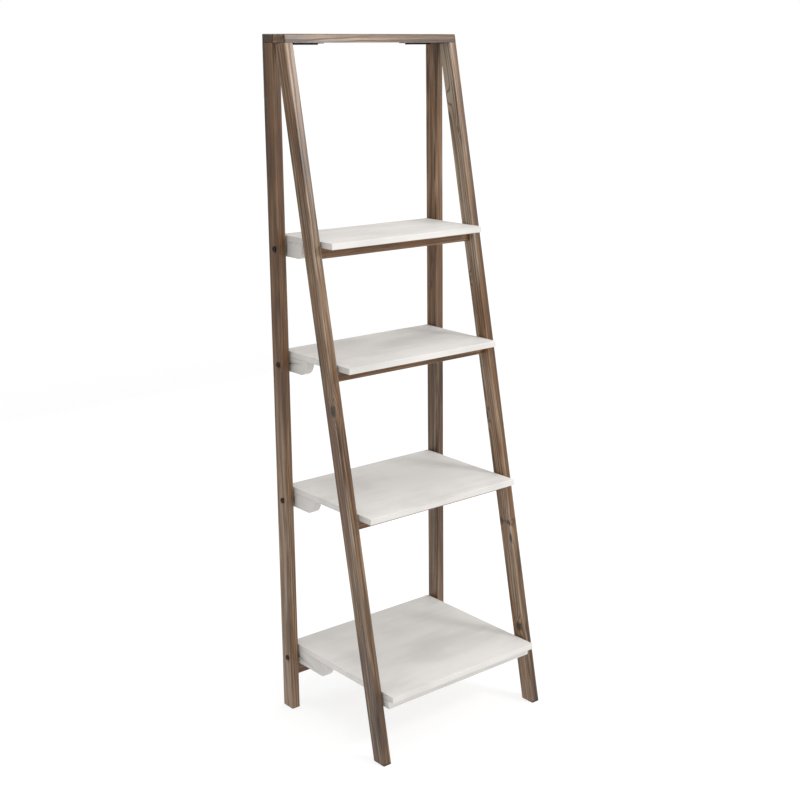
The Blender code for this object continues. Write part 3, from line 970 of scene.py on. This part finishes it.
@dataclass
class Frames:
    """The upright rear frame and the leaning front frame.

    Attributes:
        arris: the round of a leg's edges.
        bar_arris: the round of a rung's and a rail's edges.
        foot_round: the round at a leg's two ends.
        rail_end: the round at the ends of the two top rails.
        stub_end: the round at the ends of the bars between the legs.
        crisp: the round of the top rails' lower edges, and how far a bar between the legs reaches into them.
        seam: how far a leg reaches up to close its seam with the top rail.
        bolt_hole: the radius of the holes in the rear legs.
        lean: the angle of the front frame, from where its rungs lie.
    """

    arris: float = 0.0026
    bar_arris: float = 0.00208
    foot_round: float = 0.0005
    rail_end: float = 0.0030
    stub_end: float = 0.0008
    crisp: float = 0.0003
    seam: float = 0.00028
    bolt_hole: float = 0.0033
    lean: float = field(init=False)

    def __post_init__(self) -> None:
        """Finds the lean from the top and bottom rungs."""
        top, bottom = middle_of("rung_1"), middle_of("rung_4")
        self.lean = math.atan2(top[1] - bottom[1], top[2] - bottom[2])

    def bar_stain(self, kind: Bar, body: str, number: int) -> StainedTimber:
        """The finish of a rail or rung: its stain, with a partly painted highlight on the top rails and
        partly painted shade on the bottom rail.

        Args:
            kind: what it is.
            body: the body that it rides on.
            number: a rung's number, or 0.

        Returns:
            The finish.
        """
        if kind is Bar.RUNG:
            return StainedTimber(seed=3.7 + number * 1.9, warmth=0.40, bloom=0.30, ring=0.0050)
        if kind is Bar.BOTTOM_RAIL:
            # darker all over: partly its own stain, partly painted shade under the bottom shelf
            return StainedTimber(seed=17.3, warmth=0.35, bloom=0.0, depth=0.15)
        front = body == FRONT
        return StainedTimber(
            seed=25.9 if front else 21.9,
            bloom=0.15,
            ring=0.0036,
            pith=(0.03, 0.06),
            # paler at the left end, darker to the right: partly the stain, partly a painted highlight where
            # the lamp's reflection falls
            bands=((0.0, 0.12), (0.3, 0.0), (1.0, -0.08)),
            edge=0.12,
            end_dark=0.3 if front else 0.75,
        )

    def rear_stain(self, side: Side) -> StainedTimber:
        """The stain of a rear leg; the right one has three dark streaks on its inner face.

        Args:
            side: the leg's side.

        Returns:
            The finish.
        """
        if side is Side.LEFT:
            bands = ((0.0, 0.52), (0.25, 0.46), (0.5, 0.06), (1.0, -0.12))
            return StainedTimber(
                seed=31.2, warmth=0.30, bloom=0.0, depth=0.12, pith=(0.045, -0.02), bands=bands
            )
        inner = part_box("rear_leg_right")[0].x
        knots = (
            Knot((inner, 0.193, 1.50), 0.0045, 0.9, 12.0),
            Knot((inner, 0.167, 1.30), 0.0020, 0.8, 25.0),
            Knot((inner, 0.176, 1.02), 0.0040, 0.5, 6.0),
        )
        bands = ((0.0, 0.03), (0.35, -0.08), (0.55, -0.34), (0.85, 0.30), (1.0, 0.22))
        return StainedTimber(
            seed=36.8, warmth=0.15, bloom=0.05, depth=0.06, pith=(0.045, -0.02), knots=knots, bands=bands
        )

    def front_stain(self, side: Side) -> StainedTimber:
        """The stain of a front leg, with the knots of its left face.

        Args:
            side: the leg's side.

        Returns:
            The finish.
        """
        if side is Side.LEFT:
            marks = (
                Mark(0.794, 0.26, 0.0100, 1.0, 1.7),
                Mark(0.785, -0.08, 0.0030, -1.0, 1.3),
                Mark(0.300, 0.35, 0.0050, 0.2, 2.2),
            )
            bands = ((0.0, 0.04), (0.2, -0.08), (0.35, -0.08), (0.6, 0.17), (1.0, 0.15))
            knots = self.leg_knots(side, marks)
            return StainedTimber(
                seed=44.1, warmth=0.05, bloom=0.2, depth=0.04, pith=(0.05, 0.045), knots=knots, bands=bands
            )
        marks = (
            Mark(0.186, 0.45, 0.0090, 1.0, 1.6),
            Mark(0.444, 0.78, 0.0080, 1.0, 1.4),
            Mark(0.446, 0.45, 0.0080, 0.6, 0.5),
            Mark(0.444, 0.14, 0.0070, 1.0, 1.4),
            Mark(0.440, 0.16, 0.0022, -0.9, 1.5),
            Mark(0.408, 0.10, 0.0050, 0.9, 3.0),
            Mark(0.701, 0.92, 0.0070, 1.0, 2.0),
            Mark(1.030, 0.85, 0.0045, 0.7, 2.2),
            Mark(1.381, 0.20, 0.0040, 0.6, 3.0),
            Mark(1.453, 0.75, 0.0055, 0.0, 2.2),
        )
        bands = ((0.0, -0.27), (0.3, -0.27), (0.6, -0.24), (1.0, 0.06))
        return StainedTimber(
            seed=57.3,
            warmth=0.05,
            bloom=0.50,
            pith=(-0.028, 0.02),
            knots=self.leg_knots(side, marks),
            left_pale=0.42,
            bands=bands,
        )

    def leg_knots(self, side: Side, marks: Sequence[Mark]) -> tuple[Knot, ...]:
        """Knots on the left face of a front leg.

        Args:
            side: the leg's side.
            marks: where they are and how they look.

        Returns:
            The knots.
        """
        low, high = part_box(f"front_leg_{side.word}")
        slope = math.tan(self.lean)
        level = (high.y - low.y) - (high.z - low.z) * slope
        return tuple(
            Knot((low.x, low.y + m.height * slope + level * m.share, m.height), m.size, m.heart, m.draw)
            for m in marks
        )

    def leg(self, side: Side, run: Run) -> bpy.types.Object:
        """A leg: a rectangle swept upwards, straight or leaning.

        Args:
            side: its side.
            run: LEANING for the front frame, UPRIGHT for the rear one.

        Returns:
            The leg.
        """
        front = run is Run.LEANING
        name = f"{'front' if front else 'rear'}_leg_{side.word}"
        low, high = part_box(name)
        slope = math.tan(self.lean) if front else 0.0
        back = high.y - (high.z - low.z) * slope
        corners = ((low.x, low.y), (high.x, low.y), (high.x, back), (low.x, back))
        axes = ((1, 0, 0), (0, 1, 0), (0, slope, 1))
        seed = 1.0 + 5 * (side is Side.RIGHT) + 9 * front
        ends = (low.z, high.z + self.seam)
        prism = SoftPrism(corners, (self.arris,) * 4, ends, axes, self.foot_round, seed)
        stain = self.front_stain(side) if front else self.rear_stain(side)
        return self.dress(prism, name, FRONT if front else REAR, stain, run)

    def bar(self, name: str, kind: Bar, body: str, seed: float, number: int = 0) -> bpy.types.Object:
        """A rail or rung: its section in Y and Z, swept from side to side.

        The front frame's bars have a leaning front face, and its rungs a leaning back face too.

        Args:
            name: the CAD node that it stands for.
            kind: what it is.
            body: the body that it rides on.
            seed: picks its arrises' wander.
            number: a rung's number.

        Returns:
            The bar.
        """
        low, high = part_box(name)
        over = kind is Bar.TOP_RAIL
        half = high.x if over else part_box("rear_leg_right")[0].x - self.crisp
        rise = (high.z - low.z) * math.tan(self.lean)
        front_high = low.y + rise * (body == FRONT)
        back_low = high.y - rise * (kind is Bar.RUNG)
        corners = ((low.y, low.z), (back_low, low.z), (high.y, high.z), (front_high, high.z))
        axes = ((0, 1, 0), (0, 0, 1), (1, 0, 0))
        lower = self.crisp if over else self.bar_arris
        radii = (lower, lower, self.bar_arris, self.bar_arris)
        end_round = self.rail_end if over else self.stub_end
        prism = SoftPrism(corners, radii, (-half, half), axes, end_round, seed)
        return self.dress(prism, name, body, self.bar_stain(kind, body, number), Run.ACROSS)

    def dress(
        self, prism: SoftPrism, node: str, body: str, stain: StainedTimber, run: Run
    ) -> bpy.types.Object:
        """Builds a timber piece and gives it its finish and its body.

        Args:
            prism: its shape.
            node: the CAD node that it stands for.
            body: the body that it rides on.
            stain: its finish.
            run: how its grain runs.

        Returns:
            The piece.
        """
        piece = prism.build(f"{node}_timber")
        low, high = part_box(node)
        half_length = (high.x - low.x if run is Run.ACROSS else high.z - low.z) / 2
        half_length = half_length / math.cos(self.lean) if run is Run.LEANING else half_length
        grain = GrainFrame(run, self.lean, middle_of(node), half_length)
        piece.data.materials.append(stain.material(f"stained_{node}", grain))
        hand_over(piece, body, node)
        return piece

    def build(self) -> None:
        """Builds both frames."""
        for side in Side:
            leg = self.leg(side, Run.UPRIGHT)
            for number in NUMBERS:
                _, y, z = middle_of(f"shelf_{number}_washer_{side.word}")
                bore(leg, f"hole_{side.word}_{number}", side, (y, z), self.bolt_hole)
            self.leg(side, Run.LEANING)
        self.bar("rear_top_rail", Bar.TOP_RAIL, REAR, 61)
        self.bar("front_top_rail", Bar.TOP_RAIL, FRONT, 65)
        self.bar("rear_bottom_rail", Bar.BOTTOM_RAIL, REAR, 68)
        for number in NUMBERS:
            self.bar(f"rung_{number}", Bar.RUNG, FRONT, 70 + number, number)


# ---- shelves ------------------------------------------------------------------------------------
@dataclass
class Shelf:
    """One whitewashed shelf: a board on two cleats, and on the lowest an apron.

    Attributes:
        number: 1 at the top to 4 at the bottom.
        lip: the round of the board's edges.
        board_end: the round of its ends and its lower edges.
        noses: the round of the cleats' lower front corners, shelf by shelf.
        heel: the round of a cleat's lower back corner.
        cleat_arris: the round of its other edges.
        apron_arris: the round of the apron's edges.
        seam: how far cleats and apron reach up to close their seam with the board.
        bolt_hole: the radius of a cleat's hole.
        cleat_painted_shade: how much darker the cleats' paint is made, as painted shade under the board.
    """

    number: int
    lip: float = 0.0020
    board_end: float = 0.0007
    noses: tuple[float, ...] = (0.014, 0.030, 0.030, 0.030)
    heel: float = 0.010
    cleat_arris: float = 0.0003
    apron_arris: float = 0.0022
    seam: float = 0.00028
    bolt_hole: float = 0.0033
    cleat_painted_shade: float = 0.02

    @property
    def body(self) -> str:
        """The body that the shelf's pieces ride on."""
        return f"shelf_{self.number}"

    def block(self, node: str, radii: Sequence[float], end_round: float, seed: float) -> bpy.types.Object:
        """A piece with a rectangular section in Y and Z, swept from side to side.

        Args:
            node: the CAD node that it stands for.
            radii: the rounds of its lower front, lower back, upper back and upper front corners.
            end_round: the round at its ends.
            seed: picks its wander and its paint.

        Returns:
            The piece.
        """
        low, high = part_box(node)
        top = high.z + self.seam * ("board" not in node)
        corners = ((low.y, low.z), (high.y, low.z), (high.y, top), (low.y, top))
        axes = ((0, 1, 0), (0, 0, 1), (1, 0, 0))
        prism = SoftPrism(corners, radii, (low.x, high.x), axes, end_round, seed)
        piece = prism.build(f"{node}_painted")
        # the cleats under the board get darker paint: painted shade
        finish = Whitewash(seed=seed * 1.37, shade=self.cleat_painted_shade if "cleat" in node else 0.0)
        grain = GrainFrame(Run.ACROSS, 0, middle_of(node))
        piece.data.materials.append(finish.material(f"whitewash_{node}", grain))
        hand_over(piece, self.body, node)
        return piece

    def build(self) -> None:
        """Builds the board, its cleats and its apron if it has one."""
        seed = 80 + 7 * self.number
        rounds = (self.cleat_arris, self.cleat_arris, self.lip, self.lip)
        self.block(f"{self.body}_board", rounds, self.board_end, seed)
        for side in Side:
            node = f"{self.body}_cleat_{side.word}"
            radii = (self.noses[self.number - 1], self.heel, self.cleat_arris, self.cleat_arris)
            cleat = self.block(node, radii, self.cleat_arris, seed + 2 + side.value)
            _, y, z = middle_of(f"{self.body}_washer_{side.word}")
            bore(cleat, f"{node}_hole", side, (y, z), self.bolt_hole)
        if f"{self.body}_apron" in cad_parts:
            self.block(f"{self.body}_apron", (self.apron_arris,) * 4, self.apron_arris, seed + 5)


# ---- hardware -----------------------------------------------------------------------------------
@dataclass
class Hardware:
    """Bolts with threaded ends, nuts, washers, hinges and their screws, in one blackened finish.

    Attributes:
        columns: points round a turned piece.
        shank: a bolt's radius.
        head_height: how far a bolt's head stands off the leg.
        head_edge: the small bevel under the head.
        dome_from: the share of its height at which the head starts to dome.
        socket: the corner radius of the hexagon recess.
        socket_depth: its depth.
        socket_lead: the depth of the bevel round its mouth.
        pitch: the thread's pitch.
        thread: the length of the thread.
        thread_depth: its depth.
        tip: the bevel at the bolt's far end, along it and off its radius.
        screw_head: a hinge screw's head radius.
        screw_depth: how deep its cone goes.
        screw_arm: half the width of an arm of its cross recess.
        leaf_thickness: a hinge leaf's thickness.
        screw_places: each screw's place in a leaf, as shares of its length and of its width.
    """

    columns: int = 48
    shank: float = 0.0029
    head_height: float = 0.0028
    head_edge: float = 0.0003
    dome_from: float = 0.38
    socket: float = 0.0023
    socket_depth: float = 0.0016
    socket_lead: float = 0.0002
    pitch: float = 0.001
    thread: float = 0.010
    thread_depth: float = 0.00035
    tip: tuple[float, float] = (0.0006, 0.0007)
    screw_head: float = 0.0034
    screw_depth: float = 0.0012
    screw_arm: float = 0.00042
    leaf_thickness: float = 0.0014
    screw_places: tuple[tuple[float, float], ...] = ((0.15, 0.55), (0.50, 0.72), (0.85, 0.55))

    def turned_rows(
        self,
        name: str,
        rows: Sequence[tuple[float, Any]],
        place: Sequence[float],
        axis: Sequence[float],
        smooth: float,
    ) -> bpy.types.Object:
        """A turned piece from its rows.

        Args:
            name: its name.
            rows: for each row its distance along the axis and its radius, or one radius for each column.
            place: where distance 0 is.
            axis: the unit axis.
            smooth: the crease angle in degrees.

        Returns:
            The piece.
        """
        ones = np.ones(self.columns)
        along = np.array([row[0] * ones for row in rows])
        radius = np.array([row[1] * ones for row in rows])
        return turned(name, along, radius, place, axis, smooth)

    def bolt(self, node: str, side: Side, steel: bpy.types.Material) -> None:
        """A bolt with a domed head, a hexagon recess and a helical thread at its far end.

        The thread's radius falls by a triangle wave of x / pitch + angle / 2 pi; the recess's rows
        are round in the head's face and hexagonal from its rim down.

        Args:
            node: the CAD node that it stands for.
            side: the side that its head is on.
            steel: its finish.
        """
        low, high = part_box(node)
        head = (high.y - low.y) / 2
        crown, tip = (high.x, low.x) if side is Side.RIGHT else (-low.x, -high.x)
        seat, shaft_end = crown - self.head_height, tip + self.thread
        tip_along, tip_in = self.tip
        turn = np.arange(self.columns) / self.columns
        steps = np.arange(tip + tip_along, shaft_end, self.pitch / 6)
        wave = np.abs(2 * ((steps[:, None] / self.pitch + turn) % 1) - 1)
        dome = np.linspace(0, math.pi / 2, 9)
        rise, round_in = np.sin(dome), np.cos(dome)
        mouth = self.socket * 1.25
        dome_radius = mouth + (head - mouth) * (0.35 * round_in**0.6 + 0.65 * round_in)
        dome_along = seat + self.head_height * (self.dome_from + (1 - self.dome_from) * rise)
        hexagonal = self.socket * hexagon(self.columns)
        floor = crown - self.socket_depth
        rows = [(tip, 0.0), (tip, self.shank - tip_in)]
        rows += list(zip(steps, self.shank - self.thread_depth * wave))
        rows += [(shaft_end, self.shank), (seat, self.shank)]
        rows += [(seat, head - self.head_edge), (seat + self.head_edge, head)]
        rows += list(zip(dome_along, dome_radius))
        rows += [(crown, hexagonal * 1.06), (crown - self.socket_lead, hexagonal), (floor, hexagonal * 0.98)]
        rows += [(floor - self.head_edge, 0.0)]
        middle = (low + high) / 2
        place, axis = (0, middle.y, middle.z), (side.value, 0, 0)
        piece = self.turned_rows(f"{node}_turned", rows, place, axis, 32)
        piece.data.materials.append(steel)
        hand_over(piece, REAR, node)

    def screw(self, name: str, place: Sequence[float], turn: float) -> bpy.types.Object:
        """A countersunk screw head with a cross recess, facing down.

        Args:
            name: the screw's name.
            place: the middle of its face.
            turn: how far it is screwed round, as a share of the columns.

        Returns:
            The screw.
        """
        head, rim = self.screw_head, 0.00008
        slot = np.roll(cross_slot(self.columns, self.screw_arm, head * 0.62), int(turn * self.columns))
        rows = (
            (-self.screw_depth * 0.95, 0.0),
            (-self.screw_depth * 0.95, head * 0.5),
            (-0.0002, head * 0.96),
            (-rim, head),
            (0.0, head * 0.94),
            (rim, head * 0.72),
            (rim, slot),
            (-0.0005, slot * 0.8),
            (-0.0007, 0.0),
        )
        return self.turned_rows(name, rows, place, (0, 0, -1), 35)

    def hinge_screws(self, side: Side, leaf: str, body: str, away: int, steel: bpy.types.Material) -> None:
        """The three screws of a hinge leaf, joined as one piece.

        Args:
            side: the hinge's side.
            leaf: "rear" or "front".
            body: the body that the leaf rides on.
            away: the sign of Y from the pin to the leaf.
            steel: the screws' finish.
        """
        low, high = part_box(f"hinge_{side.word}_{leaf}_leaf")
        pin = middle_of(f"hinge_{side.word}_pin")
        width = max(abs(high.y - pin[1]), abs(low.y - pin[1]))
        face = high.z - self.leaf_thickness
        screws = []
        for step, (share, reach) in enumerate(self.screw_places):
            place = (low.x + (high.x - low.x) * share, pin[1] + away * width * reach, face)
            screws.append(self.screw(f"screw_{step}", place, 0.07 + 0.11 * step))
        joined = screws[0]
        with bpy.context.temp_override(object=joined, active_object=joined, selected_editable_objects=screws):
            bpy.ops.object.join()
        joined.name = f"hinge_{side.word}_{leaf}_screws"
        joined.data.materials.append(steel)
        hand_over(joined, body)

    def build(self) -> None:
        """Builds the bolts and screws, and finishes the nuts, washers and hinges."""
        steel = BlackenedSteel().material("blackened_steel")
        for side in Side:
            for number in NUMBERS:
                self.bolt(f"shelf_{number}_bolt_{side.word}", side, steel)
            self.hinge_screws(side, "rear", REAR, 1, steel)
            self.hinge_screws(side, "front", FRONT, -1, steel)
        for name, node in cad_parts.items():
            if any(word in name for word in ("washer", "nut", "hinge")):
                node.data.materials.clear()
                node.data.materials.append(steel)
                log.info("%s: finished", name)


# ---- studio -------------------------------------------------------------------------------------
@dataclass(frozen=True)
class Softbox:
    """A square area light.

    Attributes:
        name: its name.
        place: where it hangs.
        aim: where it points.
        size: its side.
        power: its power in watts.
    """

    name: str
    place: tuple[float, float, float]
    aim: tuple[float, float, float]
    size: float
    power: float

    def build(self) -> None:
        """Hangs the light."""
        lamp = bpy.data.lights.new(self.name, "AREA")
        lamp.size = self.size
        lamp.energy = self.power
        light = bpy.data.objects.new(self.name, lamp)
        light.location = self.place
        light.rotation_euler = (Vector(self.aim) - Vector(self.place)).to_track_quat("-Z", "Y").to_euler()
        bpy.context.scene.collection.objects.link(light)


@dataclass(frozen=True)
class Flag:
    """An upright grey card out of sight, which takes light away from the side that it stands on.

    Attributes:
        name: its name.
        ends: the (x, y) of its two ends.
        foot, head: the heights that it starts and stops at.
        grey: its colour.
    """

    name: str
    ends: tuple[tuple[float, float], tuple[float, float]]
    foot: float = 0.05
    head: float = 3.2
    grey: Colour = Colour("#c4c4c4")

    def build(self) -> None:
        """Stands the card up."""
        (x0, y0), (x1, y1) = self.ends
        points = ((x0, y0, self.foot), (x1, y1, self.foot), (x1, y1, self.head), (x0, y0, self.head))
        card = new_piece(self.name, np.array(points), [[0, 1, 2, 3]])
        sheet = ShaderSheet(self.name)
        sheet.principled({"Base Color": self.grey.linear, "Roughness": 1.0, "Specular IOR Level": 0.0})
        card.data.materials.append(sheet.material)
        card.visible_camera = False
        card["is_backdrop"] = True


@dataclass(frozen=True)
class Studio:
    """A white sweep, soft light and the camera.

    Attributes:
        eye: where the camera stands.
        heading: how far it looks round from +Y towards +X, in degrees.
        dip: how far it looks down, in degrees.
        lens: its focal length on a 36 mm frame, in millimetres.
        shift: how far the frame is moved off the lens's axis.
        sky: the brightness of the white all round.
        floor_reach: how far the floor goes each way.
        floor_glow: how bright the floor is by itself.
        floor_colour: the part of the light on it that it gives back.
        lights: a broad soft light overhead and a small one on the right front.
        flags: cards on the left and behind.
    """

    eye: tuple[float, float, float] = (-1.9301, -2.3925, 1.5899)
    heading: float = 40.974
    dip: float = 13.919
    lens: float = 61.317
    shift: tuple[float, float] = (-0.0715, -0.0297)
    sky: float = 1.0
    floor_reach: float = 30.0
    floor_glow: float = 0.69
    floor_colour: Colour = Colour("#a4a4a4")
    lights: tuple[Softbox, ...] = (
        Softbox("overhead", (-0.4, -0.6, 7.0), (0, 0, 0.8), 3.0, 90),
        Softbox("right_front", (1.23, -1.91, 2.20), (-0.232, 0.12, 1.5), 0.55, 24),
    )
    flags: tuple[Flag, ...] = (
        Flag("left_flag", ((-2.8, -3.0), (-2.8, 3.0))),
        Flag("rear_flag", ((-2.8, 3.0), (3.0, 3.0))),
    )

    def camera(self) -> None:
        """Sets the camera."""
        camera = bpy.data.objects.new("camera", bpy.data.cameras.new("camera"))
        bpy.context.scene.collection.objects.link(camera)
        camera.data.lens = self.lens
        camera.data.shift_x, camera.data.shift_y = self.shift
        camera.location = self.eye
        camera.rotation_euler = (math.radians(90 - self.dip), 0, -math.radians(self.heading))
        bpy.context.scene.camera = camera

    def floor(self) -> None:
        """A wide pale floor that glows a little, so that shadows on it stay faint."""
        reach = self.floor_reach
        points = np.array(((-reach, -reach, 0), (reach, -reach, 0), (reach, reach, 0), (-reach, reach, 0)))
        sweep = new_piece("studio_floor", points, [[0, 1, 2, 3]])
        sheet = ShaderSheet("studio_floor")
        inputs = {
            "Base Color": self.floor_colour.linear,
            "Roughness": 0.9,
            "Specular IOR Level": 0.0,
            "Emission Color": (1, 1, 1, 1),
            "Emission Strength": self.floor_glow,
        }
        sheet.principled(inputs)
        sweep.data.materials.append(sheet.material)
        sweep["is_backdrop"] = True

    def surround(self) -> None:
        """Plain white all round."""
        world = bpy.data.worlds.new("studio")
        bpy.context.scene.world = world
        world.use_nodes = True
        background = world.node_tree.nodes["Background"]
        background.inputs["Color"].default_value = (1, 1, 1, 1)
        background.inputs["Strength"].default_value = self.sky

    def build(self) -> None:
        """Sets the studio up."""
        self.camera()
        self.floor()
        self.surround()
        for item in (*self.flags, *self.lights):
            item.build()
        bpy.context.scene.view_settings.view_transform = "Standard"


def main() -> None:
    """Builds the studio and every sub-assembly."""
    logging.basicConfig(level=logging.INFO, format="%(name)s: %(message)s")
    Studio().build()
    Frames().build()
    for number in NUMBERS:
        Shelf(number).build()
    Hardware().build()


if __name__ == "__main__":
    main()
